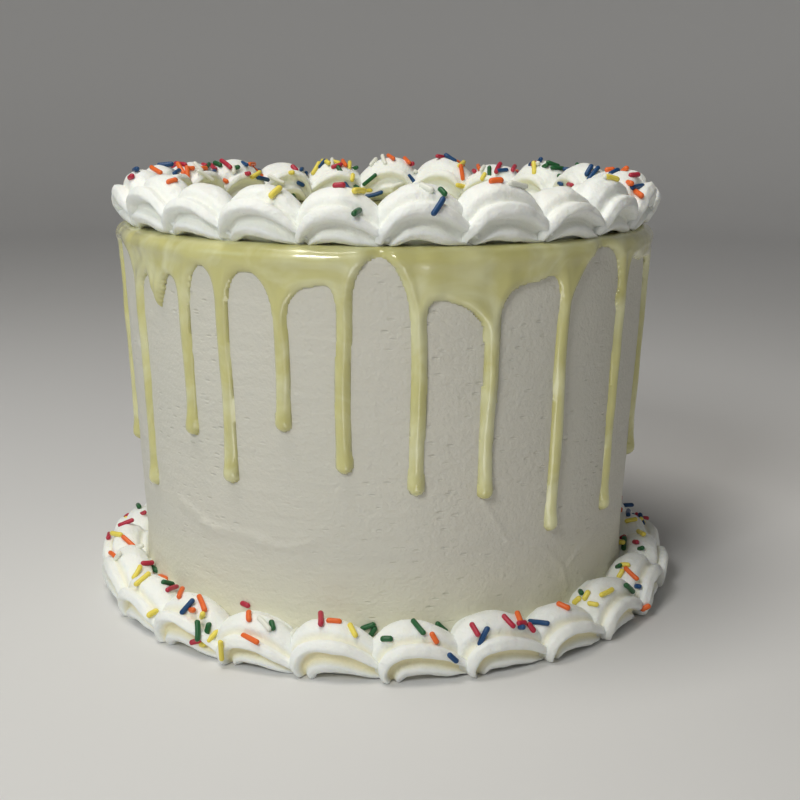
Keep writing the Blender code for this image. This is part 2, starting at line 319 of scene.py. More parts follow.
def arch_depth(angle):
    """Depth of the arches at an angle, eased from one gap between drips to the next."""
    first = math.radians(DRIPS[0][0])
    turn = (angle - first) % math.tau
    for index, (start, _, _, arch) in enumerate(DRIPS):
        following = DRIPS[(index + 1) % len(DRIPS)]
        span = math.radians(following[0] - start) % math.tau
        into = turn - (math.radians(start) - first)
        if into <= span:
            share = into / span
            side = DRIPS[index - 1][3] if share < 0.5 else following[3]
            ease = math.cos(math.pi * min(share, 1 - share)) ** 2 / 2
            return (arch * (1 - ease) + side * ease) * MM
    return DRIPS[-1][3] * MM


def collar_bottom(angle):
    """Lower edge of the collar at an angle: arches that sag into each drip's root."""
    depth = GLAZE_ROUND + arch_depth(angle)
    for drip_angle, _, root, _ in DRIPS:
        offset = math.remainder(angle - math.radians(drip_angle), math.tau) * RIM_RADIUS
        half = root * MM * (RIGHT_ROOTS.get(drip_angle, 1) if offset > 0 else 1)
        depth += ROOT_FALL * math.exp(-(abs(offset) / half) ** 1.5)
    return CAKE_HEIGHT - depth


print(len(DRIPS), "drips, the longest ends", min(drip[1] for drip in DRIPS), "mm above the floor")

# %% The path of the skin, from the middle of the top, over the rim and down the wall
GLAZE_COLUMNS = 860
GLAZE_STEP = 0.82 * MM
GLAZE_LOW = 40 * MM
flat = [(radius, ICING_TOP) for radius in np.linspace(0, RIM_RADIUS - CORNER, 60)]
down = [(float(wall_radius(level)), level)
        for level in np.linspace(ICING_TOP - CORNER, GLAZE_LOW, 220)]
path = np.array(flat + rim_turn(14)[1:] + down[1:])
legs = np.hypot(*np.diff(path, axis=0).T)
travel = np.concatenate([[0], np.cumsum(legs)])
slope = np.gradient(path, axis=0)
normals = np.stack([-slope[:, 1], slope[:, 0]], axis=1)
normals /= np.hypot(*normals.T)[:, None]
sparse = [0, 20 * MM, 50 * MM, 72 * MM, 84 * MM, 91 * MM]
stops = sparse + list(np.arange(95 * MM, travel[-1], GLAZE_STEP))
print("path", round(travel[-1] * 1000), "mm long,", len(stops), "rows")

# %% Shape of the glaze's edge as a field, positive inside
glaze_bm, glaze_grid = sheet(GLAZE_COLUMNS, len(stops) - 1)
turns = np.linspace(-math.pi, math.pi, GLAZE_COLUMNS + 1)
bottoms = np.array([collar_bottom(turn) for turn in turns])
bottoms[-1] = bottoms[0]
fall = np.gradient(bottoms, turns * RIM_RADIUS)
radii = np.interp(stops, travel, path[:, 0])
levels = np.interp(stops, travel, path[:, 1])
stop_normals = np.stack([np.interp(stops, travel, normals[:, axis]) for axis in (0, 1)], axis=1)
over_rim = np.array(stops) - travel[np.argmax(path[:, 1] < ICING_TOP - CORNER)]
drop = ICING_TOP - CORNER - over_rim


def smooth_join(one, other, blend):
    """Union of two fields with a soft web where they meet."""
    overlap = np.maximum(blend - np.abs(one - other), 0) / blend
    return np.maximum(one, other) + overlap ** 2 * blend / 4


def drip_field(index, angle, end):
    """Field of one drip: a wandering strand with a bulb at its end."""
    sway = random.Random(SEED + index).uniform(0, math.tau)
    level = drop[:, None]
    centre = 0.5 * MM * np.sin(level / (11 * MM) + sway)
    across = np.remainder(turns[None, :] - angle + math.pi, math.tau) - math.pi
    across = across * RIM_RADIUS - centre * np.clip((level - end) / (20 * MM), 0, 1)
    near_end = np.exp(-((level - end - BULB_HALF_WIDTH) / (4.5 * MM)) ** 2)
    half_width = DRIP_HALF_WIDTH + (BULB_HALF_WIDTH - DRIP_HALF_WIDTH) * near_end
    beyond = np.maximum(end + BULB_HALF_WIDTH - level, 0)
    return half_width - np.hypot(across, beyond), near_end * (np.abs(across) < 6 * MM)


field = (drop[:, None] - bottoms[None, :]) / np.hypot(1, fall)[None, :]
swell = np.zeros(field.shape)
for index, (angle, end, _, _) in enumerate(DRIPS):
    strand, bulb = drip_field(index, math.radians(angle), end * MM)
    field = smooth_join(field, strand, WEB)
    swell = np.maximum(swell, bulb)
for x, y, size in BEADS:
    along, level = on_wall(x, y)
    field = smooth_join(field, size * MM - np.hypot(turns[None, :] * RIM_RADIUS - along,
                                                    drop[:, None] - level), WEB)
field[:, -1] = field[:, 0]
print("glaze covers", round(100 * float((field > 0).mean())), "% of the skin's cells")

# %% Lift the skin off the wall by the thickness of the glaze
SUNK = 0.35 * MM
SKIN_BACKING = 0.5 * MM
BARE_MARGIN = 1.0 * MM
BULB_SWELL = 0.9 * MM
# Lumps of the set glaze: their width and height (mm)
GLAZE_LAYERS = ((8, 0.28), (3, 0.08))
rise = np.clip(field / GLAZE_EDGE, 0, 1)
full = np.interp(over_rim, [-18 * MM, -9 * MM, 0, 3 * MM],
                 [TOP_THICKNESS, SHOULDER_THICKNESS, SHOULDER_THICKNESS, GLAZE_THICKNESS])[:, None]
full = full + swell * BULB_SWELL
lip = 0.25 * MM * np.exp(-((field - 2.6 * MM) / (1.4 * MM)) ** 2) * (over_rim > 0)[:, None]
thickness = full * np.sqrt(1 - (1 - rise) ** 2) + lip * rise
thickness = np.where(field < 0, np.maximum(field * 0.6, -SUNK), thickness)
for row, (radius, level, (out, up)) in enumerate(zip(radii, levels, stop_normals)):
    for column, turn in enumerate(turns):
        ripple = 0.0
        if out > 0.3:
            spot = polar(radius, turn, level * 0.6)
            ripple = sum(tall * MM * gentle_noise(spot, grain * MM) for grain, tall in GLAZE_LAYERS)
        lift = thickness[row, column] + ripple * rise[row, column]
        glaze_grid[row, column].co = polar(radius + out * lift, turn, level + up * lift)
bare = [glaze_grid[row, column] for row, column in np.argwhere(field < -BARE_MARGIN)]
bmesh.ops.delete(glaze_bm, geom=bare, context="VERTS")
bmesh.ops.remove_doubles(glaze_bm, verts=glaze_bm.verts, dist=0.002 * MM)
bmesh.ops.recalc_face_normals(glaze_bm, faces=glaze_bm.faces)
bmesh.ops.solidify(glaze_bm, geom=glaze_bm.faces[:], thickness=SKIN_BACKING)
if glaze_bm.calc_volume(signed=True) < 0:
    bmesh.ops.reverse_faces(glaze_bm, faces=glaze_bm.faces)
print("open edges", sum(edge.is_boundary for edge in glaze_bm.edges))
print("glaze is", round(float(thickness.max()) * 1000, 1), "mm at its thickest")
glaze = finish_piece("glaze", glaze_bm)

# %% [markdown]
# ## The piped shells
#
# A shell is made with a star nozzle: the bag is squeezed until the icing swells into a dome,
# then pulled along the ring while the pressure drops, so that a tail lies under the next
# shell. The ridges of the star run over the dome and down the tail.
#
# A section of the star is swept on planes that hinge on the floor under the dome and then
# slide along the ring. Few stations describe the sweep, and a smooth curve through them
# gives the many fine sections. The dome slopes to a crease, the ribbon under it stands out
# like a cord, and below a deep hollow lies the small lowest ridge.

# %% Measures of the shells
VALLEY = 0.67
# Star section: angle (0 is the crest, 90 faces outwards) and size
STAR = [(0, 1.0), (26, 0.96), (50, 0.80), (61, 1.07), (77, 1.08), (91, VALLEY), (103, VALLEY),
        (117, 0.97), (132, 0.95), (150, 0.72), (180, 0.95), (220, 0.80), (239, 0.95), (251, 0.95),
        (264, 0.73), (276, 0.73), (293, 1.02), (303, 1.02), (311, 0.86), (332, 0.95)]
HINGE_DROP = 1.5 * MM
# Along one shell: run of the root (mm), lean (degrees), reach and half width (share), lift (mm)
TOP_STATIONS = [(-2.5, 168, 0.44, 0.68, 2.2), (1, 134, 0.70, 0.96, 2.0), (3, 106, 0.91, 1.05, 1.2),
                (7, 82, 0.94, 1.0, 0.4), (14, 60, 0.60, 0.82, 0.4), (20, 46, 0.34, 0.48, 0.4)]
BASE_STATIONS = [(-1, 176, 0.50, 0.84, 1.5), (0, 146, 0.78, 1.0, 1), (1, 108, 0.97, 1.03, 0),
                 (6, 78, 0.86, 0.97, 0), (14, 58, 0.54, 0.80, 0), (20, 48, 0.28, 0.45, 0)]
UNEVENNESS = 0.1
TOP_RING = {"shells": 23, "first": 5.0, "radius": 98.3 * MM, "floor": CAKE_HEIGHT,
            "reach": 22.3 * MM, "half_width": 11.2 * MM, "stations": TOP_STATIONS}
BASE_RING = {"shells": 24, "first": 5.6, "radius": 110.5 * MM, "floor": 0,
             "reach": 21.2 * MM, "half_width": 10.5 * MM, "stations": BASE_STATIONS}
print("shells every", round(360 / TOP_RING["shells"], 1), "degrees on the rim")


# %% One shell from its stations
def shell_rows(ring, index):
    """Stations of one shell, slightly uneven: run, lean, reach, half width, twist, lift."""
    draw = random.Random(SEED + index)
    tall = ring["reach"] * (1 + draw.uniform(-UNEVENNESS, UNEVENNESS))
    wide = ring["half_width"] * (1 + draw.uniform(-UNEVENNESS, UNEVENNESS) / 2)
    stretch = 1 + draw.uniform(-UNEVENNESS, UNEVENNESS)
    twist = math.radians(draw.uniform(-9, 9))
    return [(run * MM * stretch, math.radians(lean), tall * share, wide * width, twist, lift * MM)
            for run, lean, share, width, lift in ring["stations"]]


def smooth_row(rows, place):
    """Row between the stations, on a smooth curve through them."""
    last = len(rows) - 1
    start = min(int(place), last - 1)
    t = place - start
    before, here, there, after = (np.array(rows[max(0, min(last, start + step))])
                                  for step in (-1, 0, 1, 2))
    return (2 * here + (there - before) * t + (2 * before - 5 * here + 4 * there - after) * t ** 2
            + (3 * here - before - 3 * there + after) * t ** 3) / 2


def star_size(turn):
    """Size of the star at a turn, eased from one ridge or valley to the next."""
    for (t0, s0), (t1, s1) in zip(STAR, STAR[1:] + [(360, STAR[0][1])]):
        if t0 <= turn <= t1:
            return s0 + (s1 - s0) * (1 - math.cos(math.pi * (turn - t0) / (t1 - t0))) / 2
    return STAR[0][1]


def shell_point(row, around, size):
    """Point on a shell as (along the ring, outwards, up)."""
    run, lean, reach, half_width, twist, lift = row
    distance = reach / 2 * (1 + size * math.cos(around + twist)) + 0.3 * MM
    outwards = half_width * size * math.sin(around + twist)
    up = distance * math.sin(lean) - HINGE_DROP + lift
    return run + distance * math.cos(lean), outwards, up


def on_ring(place, ring, angle):
    """Bend a shell's own coordinates round its ring."""
    along, outwards, up = place
    return polar(ring["radius"] + outwards, angle + along / ring["radius"], ring["floor"] + up)


print("one dome is about", round(TOP_RING["reach"] * 1000), "mm high")

# %% A ring of shells
SHELL_STEPS = 44
SHELL_POINTS = 96
# Lumps and torn skin of the piping: width and height (mm)
SHELL_LAYERS = ((8, 0.7), (2.8, 0.2), (1.2, 0.09))


def build_shell(ring, index):
    """One closed shell, cut flat where it sits, with the depth of its valleys as an attribute for the
    painted shade there.
    """
    bm, grid = sheet(SHELL_POINTS, SHELL_STEPS, "valley_shade")
    valley_shade = bm.verts.layers.float["valley_shade"]
    rows = shell_rows(ring, index)
    angle = math.radians(ring["first"]) + math.tau * index / ring["shells"]
    sizes = [star_size(360 * k / SHELL_POINTS) for k in range(SHELL_POINTS + 1)]
    for step in range(SHELL_STEPS + 1):
        row = smooth_row(rows, step / SHELL_STEPS * (len(rows) - 1))
        for point, size in enumerate(sizes):
            place = shell_point(row, math.tau * point / SHELL_POINTS, size)
            vert = grid[step, point]
            vert.co = on_ring(place, ring, angle)
            # How deep the point lies in a valley of the star: the share of painted shade that its
            # colour gets.
            vert[valley_shade] = min(1.0, max(0.0, (1 - size) / (1 - VALLEY)))
    close_up(bm)
    for vert in list(bm.verts):
        lumps = [gentle_noise(vert.co, grain * MM) * tall * MM for grain, tall in SHELL_LAYERS]
        vert.co += vert.normal * sum(lumps)
    everything = bm.verts[:] + bm.edges[:] + bm.faces[:]
    bmesh.ops.bisect_plane(bm, geom=everything, plane_co=(0, 0, ring["floor"]),
                           plane_no=(0, 0, 1), clear_inner=True)
    close_up(bm)
    return bm


def build_border(name, ring):
    """All the shells of a ring in one piece."""
    whole = bmesh.new()
    for index in range(ring["shells"]):
        bm = build_shell(ring, index)
        mesh = bpy.data.meshes.new("shell")
        bm.to_mesh(mesh)
        bm.free()
        whole.from_mesh(mesh)
        bpy.data.meshes.remove(mesh)
    return finish_piece(name, whole)


top_shells = build_border("top_shells", TOP_RING)
base_shells = build_border("base_shells", BASE_RING)

# %% [markdown]
# ## Sprinkles
#
# The sprinkles are short extruded sugar rods with rounded ends, about two millimetres thick,
# in six colours. Those that the picture shows are laid where they are seen: at the spot of
# icing behind the pixel, with the heading and length that they have there. The far sides of
# both rings get sprinkles drawn at random with the same look.

# %% Sprinkles seen on the top border
# x, y, heading (degrees, + rises to the right) and length (pixels)
TOP_SPRINKLES = {
    "blue": [(136, 170, -8, 19), (165, 165, 0, 17), (176, 173, 30, 16), (260, 171, -45, 7),
             (262, 179, -15, 13), (300, 184, -30, 8), (301, 167, 15, 9), (312, 159, 90, 8),
             (346, 186, -57, 17), (374, 194, 15, 20), (412, 180, -50, 14), (438, 207, 57, 22),
             (450, 153, -35, 15), (532, 165, 0, 6), (540, 162, 30, 6), (561, 183, 0, 4),
             (589, 171, 60, 13), (593, 174, 50, 24), (614, 173, 25, 11), (636, 187, 10, 15)],
    "green": [(205, 154, 90, 4), (207, 162, 40, 17), (218, 165, -25, 8), (236, 168, 0, 5),
              (293, 195, -60, 8), (354, 167, 0, 3), (370, 180, 38, 26), (357, 186, 0, 6),
              (356, 213, 20, 13), (442, 193, -50, 10), (490, 172, 90, 12), (545, 167, 0, 6),
              (557, 169, -5, 14)],
    "orange": [(156, 171, -35, 14), (172, 182, 15, 12), (190, 169, 0, 7), (203, 169, 0, 7),
               (225, 181, -45, 5), (251, 160, 0, 8), (344, 160, -60, 11), (391, 154, -35, 11),
               (406, 155, -60, 9), (479, 166, -70, 11), (496, 182, 5, 15), (610, 171, 0, 10),
               (625, 171, 0, 5), (629, 184, -45, 6), (638, 194, -35, 13)],
    "crimson": [(132, 178, 0, 4), (181, 165, -10, 14), (204, 160, -60, 5), (214, 168, -45, 18),
                (226, 165, -42, 15), (247, 174, 0, 5), (294, 169, -45, 9), (339, 187, 0, 8),
                (410, 158, 0, 5), (475, 161, -45, 6), (498, 169, 60, 14), (513, 166, 65, 19),
                (571, 184, -8, 16), (634, 176, 0, 11)],
    "yellow": [(255, 175, 35, 12), (275, 193, 40, 16), (291, 173, 0, 5), (326, 157, -20, 13),
               (336, 159, -15, 9), (349, 160, 90, 7), (354, 164, 0, 4), (352, 178, 80, 8),
               (358, 192, 0, 12), (369, 191, 0, 7), (461, 156, 30, 7), (462, 187, -18, 26),
               (484, 177, 60, 9), (611, 179, -15, 15)],
    "white": [(205, 176, -35, 24), (276, 180, -25, 22), (332, 153, 90, 7), (374, 160, 50, 10),
              (398, 186, 15, 20), (416, 161, -45, 8), (426, 189, -30, 16), (517, 186, -18, 26),
              (537, 165, 0, 5), (607, 178, 0, 7)],
}
print(sum(len(rods) for rods in TOP_SPRINKLES.values()), "sprinkles read off the top border")

# %% Sprinkles seen on the base border
BASE_SPRINKLES = {
    "blue": [(97, 552, 60, 17), (188, 607, 48, 20), (452, 658, -42, 13), (483, 636, 65, 22),
             (520, 627, 0, 6), (539, 623, -8, 22), (628, 500, 0, 11), (628, 514, 90, 8),
             (636, 586, 0, 6)],
    "green": [(139, 496, -60, 8), (153, 569, -45, 13), (167, 584, -20, 13), (198, 631, 90, 22),
              (208, 630, 75, 16), (272, 626, -75, 10), (368, 626, 20, 16), (373, 631, 60, 7),
              (387, 639, 0, 13), (418, 628, -52, 20), (441, 627, -42, 15), (582, 593, -45, 6),
              (619, 567, 0, 5), (625, 544, 80, 13), (628, 588, -47, 19), (641, 549, 0, 5)],
    "orange": [(128, 542, -42, 17), (114, 555, -40, 9), (164, 577, -20, 14), (181, 594, 65, 11),
               (202, 604, -70, 20), (193, 610, 0, 5), (249, 617, 90, 11), (250, 640, -33, 28),
               (334, 622, -5, 16), (434, 638, -60, 14), (518, 618, -70, 12), (563, 607, -25, 15),
               (631, 574, -45, 19), (645, 607, 30, 9)],
    "crimson": [(127, 515, 0, 5), (143, 514, 0, 6), (126, 524, 22, 17), (109, 530, 65, 15),
                (147, 564, 0, 13), (171, 589, 14, 17), (246, 604, -20, 10), (197, 642, 10, 15),
                (321, 620, 90, 16), (475, 630, -60, 16), (508, 622, -48, 18), (521, 624, 0, 9),
                (530, 628, -55, 12), (622, 539, 0, 4), (636, 543, -30, 6)],
    "yellow": [(117, 535, -10, 11), (99, 562, 0, 4), (137, 573, 58, 16), (143, 580, 40, 20),
               (152, 614, 30, 12), (203, 616, 60, 5), (213, 636, 50, 18), (203, 645, 0, 5),
               (222, 650, 90, 25), (352, 631, -65, 16), (578, 601, 40, 10), (587, 596, 60, 8),
               (593, 604, -10, 11), (606, 593, 25, 15), (621, 574, 60, 7), (625, 566, 0, 7),
               (631, 521, 10, 13), (641, 534, -30, 10), (619, 542, 0, 6)],
    "white": [(118, 558, 55, 24), (139, 548, 0, 6), (264, 624, -50, 19), (294, 633, 38, 23)],
}
print(sum(len(rods) for rods in BASE_SPRINKLES.values()), "sprinkles read off the base border")

# %% One sprinkle
ROD_RADIUS = (0.95 * MM, 1.12 * MM)
ROD_LENGTH = (4.5 * MM, 9 * MM)
ROD_SIDES = 12
ROD_CAP_ROWS = 7
ROD_BEND = 0.04
ROD_UNEVENNESS = 0.04
ROD_LIFT = 0.55


def add_rod(bm, spot, axis, outwards, length, draw):
    """A rod with rounded ends and a slight bend, laid at a spot on the icing."""
    radius = draw.uniform(*ROD_RADIUS)
    rod = bmesh.new()
    bmesh.ops.create_uvsphere(rod, u_segments=ROD_SIDES, v_segments=ROD_CAP_ROWS, radius=radius)
    for vert in rod.verts:
        vert.co.z += math.copysign(length / 2 - radius, vert.co.z)
    sides = [edge for edge in rod.edges if edge.verts[0].co.z * edge.verts[1].co.z < 0]
    bmesh.ops.subdivide_edges(rod, edges=sides, cuts=3, use_grid_fill=True)
    bend = draw.uniform(-ROD_BEND, ROD_BEND) / length * 4
    for vert in rod.verts:
        vert.co.x += bend * (vert.co.z ** 2 - (length / 2) ** 2 / 3)
        vert.co *= 1 + ROD_UNEVENNESS * gentle_noise(vert.co, 1.5 * MM)
    side = outwards.cross(axis).normalized()
    front = axis.cross(side).normalized()
    turn = Matrix((side, front, axis)).transposed().to_4x4()
    place = Matrix.Translation(spot + outwards * radius * ROD_LIFT) @ turn
    bmesh.ops.transform(rod, matrix=place, verts=rod.verts)
    mesh = bpy.data.meshes.new("rod")
    rod.to_mesh(mesh)
    rod.free()
    bm.from_mesh(mesh)
    bpy.data.meshes.remove(mesh)


print("rods are", [round(2000 * radius, 1) for radius in ROD_RADIUS], "mm thick")

# %% Where a rod lies
icing_trees = [BVHTree.FromObject(piece, bpy.context.evaluated_depsgraph_get())
               for piece in (top_shells, base_shells, buttercream_wall, glaze)]
# A rod seen shorter than this (pixels) points towards the camera
END_ON = 7
NUDGES = 11
SHORTEST_SHOWN = 0.35


def first_hit(start, direction):
    """Nearest spot of icing from a start in a direction, with the way that it faces."""
    hits = [tree.ray_cast(start, direction) for tree in icing_trees]
    hits = [hit for hit in hits if hit[0] is not None]
    if not hits:
        return None
    spot, facing, _, _ = min(hits, key=lambda hit: hit[3])
    return spot, facing


def seen_rod(x, y, heading, pixels, draw):
    """Spot, axis, facing and length of a rod from its place in the picture."""
    direction = sight(x, y)
    hit = first_hit(STAND, direction)
    for nudge in range(1, NUDGES + 1):
        if hit is None:
            hit = first_hit(STAND, sight(x, y + nudge))
    if hit is None:
        return None
    spot, facing = hit
    turn = math.radians(heading)
    pictured = RIGHT * math.cos(turn) + UP * math.sin(turn)
    size = pixels * (spot - STAND).dot(AHEAD) / FOCAL_PIXELS
    if pixels < END_ON:
        axis = (pictured * 0.5 + facing * 0.35 - direction * 0.6).normalized()
        return spot, axis, facing, ROD_LENGTH[0]
    axis = facing.cross(direction.cross(pictured))
    if axis.length < 0.3:
        axis = pictured
    axis = (axis.normalized() + facing * draw.uniform(0, 0.12)).normalized()
    shown = max(SHORTEST_SHOWN, math.sqrt(max(0.0, 1 - axis.dot(direction) ** 2)))
    length = min(max(size / shown, ROD_LENGTH[0]), ROD_LENGTH[1])
    return spot, axis, facing, length


FALL = 60 * MM


def drawn_rod(ring, angle, draw):
    """Spot, axis, facing and length of a random rod on a ring of shells."""
    target = polar(ring["radius"] + draw.uniform(-5, 9) * MM, angle, ring["floor"] + 10 * MM)
    tilt = draw.uniform(0.3, 1.2) if ring is BASE_RING else draw.uniform(-0.9, 0.9)
    start = target + (Vector((0, 0, 1)) + polar(tilt, angle, 0)) * FALL
    hit = first_hit(start, (target - start).normalized())
    if hit is None:
        return None
    spot, facing = hit
    along = Matrix.Rotation(draw.uniform(0, math.tau), 3, facing) @ facing.orthogonal()
    axis = (along.normalized() + facing * draw.uniform(0, 0.4)).normalized()
    return spot, axis, facing, draw.uniform(*ROD_LENGTH)


print("icing can be hit from", len(icing_trees), "pieces")

# %% Lay all the sprinkles, one piece for each colour
# Sprinkles of each colour out of sight, and where they lie (degrees from the front)
HIDDEN = ((TOP_RING, 7, 105, 255), (BASE_RING, 11, 95, 262))
sprinkle_pieces = {}
for number, colour in enumerate(TOP_SPRINKLES):
    draw = random.Random(SEED + 100 * number)
    bm = bmesh.new()
    rods = [seen_rod(*rod, draw) for rod in TOP_SPRINKLES[colour] + BASE_SPRINKLES[colour]]
    for ring, count, first, last in HIDDEN:
        rods += [drawn_rod(ring, math.radians(draw.uniform(first, last)), draw)
                 for _ in range(count)]
    laid = [rod for rod in rods if rod]
    for spot, axis, facing, length in laid:
        add_rod(bm, spot, axis, facing, length, draw)
    sprinkle_pieces[colour] = finish_piece(f"{colour}_sprinkles", bm)
    print(colour, len(laid), "of", len(rods))

# %% [markdown]
# ## Materials
#
# All the icing is butter, sugar and cream: pale, soft and slightly see-through, so a little
# light travels under its skin. Its grain is a shared effect, used on the smooth wall and on
# the shells at different sizes. The glaze is glossier and yellower. The sprinkles are waxy.


# %% Helpers for shader nodes
def srgb(red, green, blue):
    """A screen colour (0 to 255) as a linear colour with alpha."""
    return tuple(((c / 255 + 0.055) / 1.055) ** 2.4 if c > 10 else c / 3294.6
                 for c in (red, green, blue)) + (1,)


def node(tree, kind, inputs=None, **settings):
    """A shader node whose inputs are given as values or as sockets of other nodes."""
    made = tree.nodes.new(kind)
    for name, value in settings.items():
        setattr(made, name, value)
    for name, value in (inputs or {}).items():
        if isinstance(value, bpy.types.NodeSocket):
            tree.links.new(value, made.inputs[name])
        else:
            made.inputs[name].default_value = value
    return made


def new_material(name):
    """An empty material with its shader, as (material, tree, shader)."""
    material = bpy.data.materials.new(name)
    material.use_nodes = True
    tree = material.node_tree
    return material, tree, tree.nodes["Principled BSDF"]


def put_on(piece, material):
    """Give a piece its material and tie it to the cake."""
    piece.data.materials.append(material)
    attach(piece, "root")


def soften(shader, weight, depth):
    """Let a little light travel under the skin of icing or glaze."""
    shader.inputs["Subsurface Weight"].default_value = weight
    shader.inputs["Subsurface Radius"].default_value = SCATTER
    shader.inputs["Subsurface Scale"].default_value = depth


SCATTER = (1.0, 0.85, 0.6)
print("light reaches", SCATTER, "as far in red, green and blue")

# %% Grain of the icing, shared by the wall and the shells
grain_group = bpy.data.node_groups.new("icing_grain", "ShaderNodeTree")
for name, default in (("Lump Size", 120.0), ("Grain Size", 900.0), ("Sparkle", 0.5)):
    socket = grain_group.interface.new_socket(name, in_out="INPUT", socket_type="NodeSocketFloat")
    socket.default_value = default
for name in ("Height", "Roughness"):
    grain_group.interface.new_socket(name, in_out="OUTPUT", socket_type="NodeSocketFloat")
entry = grain_group.nodes.new("NodeGroupInput")
leave = grain_group.nodes.new("NodeGroupOutput")
place = node(grain_group, "ShaderNodeTexCoord").outputs["Object"]
lumps = node(grain_group, "ShaderNodeTexNoise",
             {"Vector": place, "Scale": entry.outputs["Lump Size"], "Detail": 2.0})
grain = node(grain_group, "ShaderNodeTexNoise",
             {"Vector": place, "Scale": entry.outputs["Grain Size"], "Detail": 2.0})
both = node(grain_group, "ShaderNodeMath",
            {0: grain.outputs["Fac"], 1: 0.35, 2: lumps.outputs["Fac"]}, operation="MULTIPLY_ADD")
sparkle = node(grain_group, "ShaderNodeMapRange",
               {"Value": grain.outputs["Fac"], "From Min": 0.56, "From Max": 0.68,
                "To Min": 0.0, "To Max": entry.outputs["Sparkle"]})
rough = node(grain_group, "ShaderNodeMath", {0: 0.62, 1: sparkle.outputs["Result"]},
             operation="SUBTRACT")
grain_group.links.new(both.outputs["Value"], leave.inputs["Height"])
grain_group.links.new(rough.outputs["Value"], leave.inputs["Roughness"])
print("icing grain has", len(grain_group.nodes), "nodes")

# %% Smooth wall: grey cream with warmer clouds, painted light at the foot, scraper streaks and small pits
wall_material, tree, shader = new_material("buttercream")
place = node(tree, "ShaderNodeTexCoord").outputs["Object"]
clouds = node(tree, "ShaderNodeTexNoise", {"Vector": place, "Scale": 14.0, "Detail": 3.0})
cream = node(tree, "ShaderNodeMix", {"Factor": clouds.outputs["Fac"], "A": srgb(211, 211, 201),
                                     "B": srgb(220, 216, 204)}, data_type="RGBA")
split = node(tree, "ShaderNodeSeparateXYZ", {"Vector": place})
# Painted light: the wall is lighter and yellower towards the foot.
painted_foot_light = node(tree, "ShaderNodeMapRange", {"Value": split.outputs["Z"], "From Min": 4 * MM,
                                        "From Max": 40 * MM, "To Min": 0.75, "To Max": 0.0})
colour = node(tree, "ShaderNodeMix", {"Factor": painted_foot_light.outputs["Result"], "A": cream.outputs["Result"],
                                      "B": srgb(238, 235, 208)}, data_type="RGBA")
stretch = node(tree, "ShaderNodeMapping", {"Vector": place, "Scale": (1.0, 1.0, 7.0)})
streaks = node(tree, "ShaderNodeTexNoise", {"Vector": stretch.outputs["Vector"], "Scale": 60.0,
                                            "Detail": 4.0})
stipple = node(tree, "ShaderNodeTexNoise", {"Vector": place, "Scale": 620.0, "Detail": 2.0})
pits = node(tree, "ShaderNodeTexVoronoi", {"Vector": place, "Scale": 230.0})
pit = node(tree, "ShaderNodeMapRange", {"Value": pits.outputs["Distance"], "From Min": 0.06,
                                        "From Max": 0.2, "To Min": -0.3, "To Max": 0.0})
flatter = node(tree, "ShaderNodeMapping", {"Vector": place, "Scale": (1.0, 1.0, 2.6)})
nicks = node(tree, "ShaderNodeTexVoronoi", {"Vector": flatter.outputs["Vector"], "Scale": 150.0})
nick = node(tree, "ShaderNodeMapRange", {"Value": nicks.outputs["Distance"], "From Min": 0.08,
                                         "From Max": 0.24, "To Min": -1.1, "To Max": 0.0})
patches = node(tree, "ShaderNodeTexNoise", {"Vector": place, "Scale": 24.0, "Detail": 1.0})
patch = node(tree, "ShaderNodeMapRange", {"Value": patches.outputs["Fac"], "From Min": 0.48,
                                          "From Max": 0.56, "To Min": 0.0, "To Max": 1.0})
torn = node(tree, "ShaderNodeMath", {0: nick.outputs["Result"], 1: patch.outputs["Result"]},
            operation="MULTIPLY")
grain = node(tree, "ShaderNodeGroup", node_tree=grain_group)
grain.inputs["Lump Size"].default_value = 140.0
grain.inputs["Grain Size"].default_value = 1400.0
grain.inputs["Sparkle"].default_value = 0.12
relief = grain.outputs["Height"]
for layer, share in ((streaks.outputs["Fac"], 0.7), (stipple.outputs["Fac"], 1.1),
                     (pit.outputs["Result"], 1.0), (torn.outputs["Value"], 1.0)):
    relief = node(tree, "ShaderNodeMath", {0: layer, 1: share, 2: relief},
                  operation="MULTIPLY_ADD").outputs["Value"]
bump = node(tree, "ShaderNodeBump", {"Height": relief, "Strength": 0.8,
                                     "Distance": 0.34 * MM})
tree.links.new(colour.outputs["Result"], shader.inputs["Base Color"])
tree.links.new(grain.outputs["Roughness"], shader.inputs["Roughness"])
tree.links.new(bump.outputs["Normal"], shader.inputs["Normal"])
soften(shader, 0.12, 3 * MM)
put_on(buttercream_wall, wall_material)
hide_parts("cake")
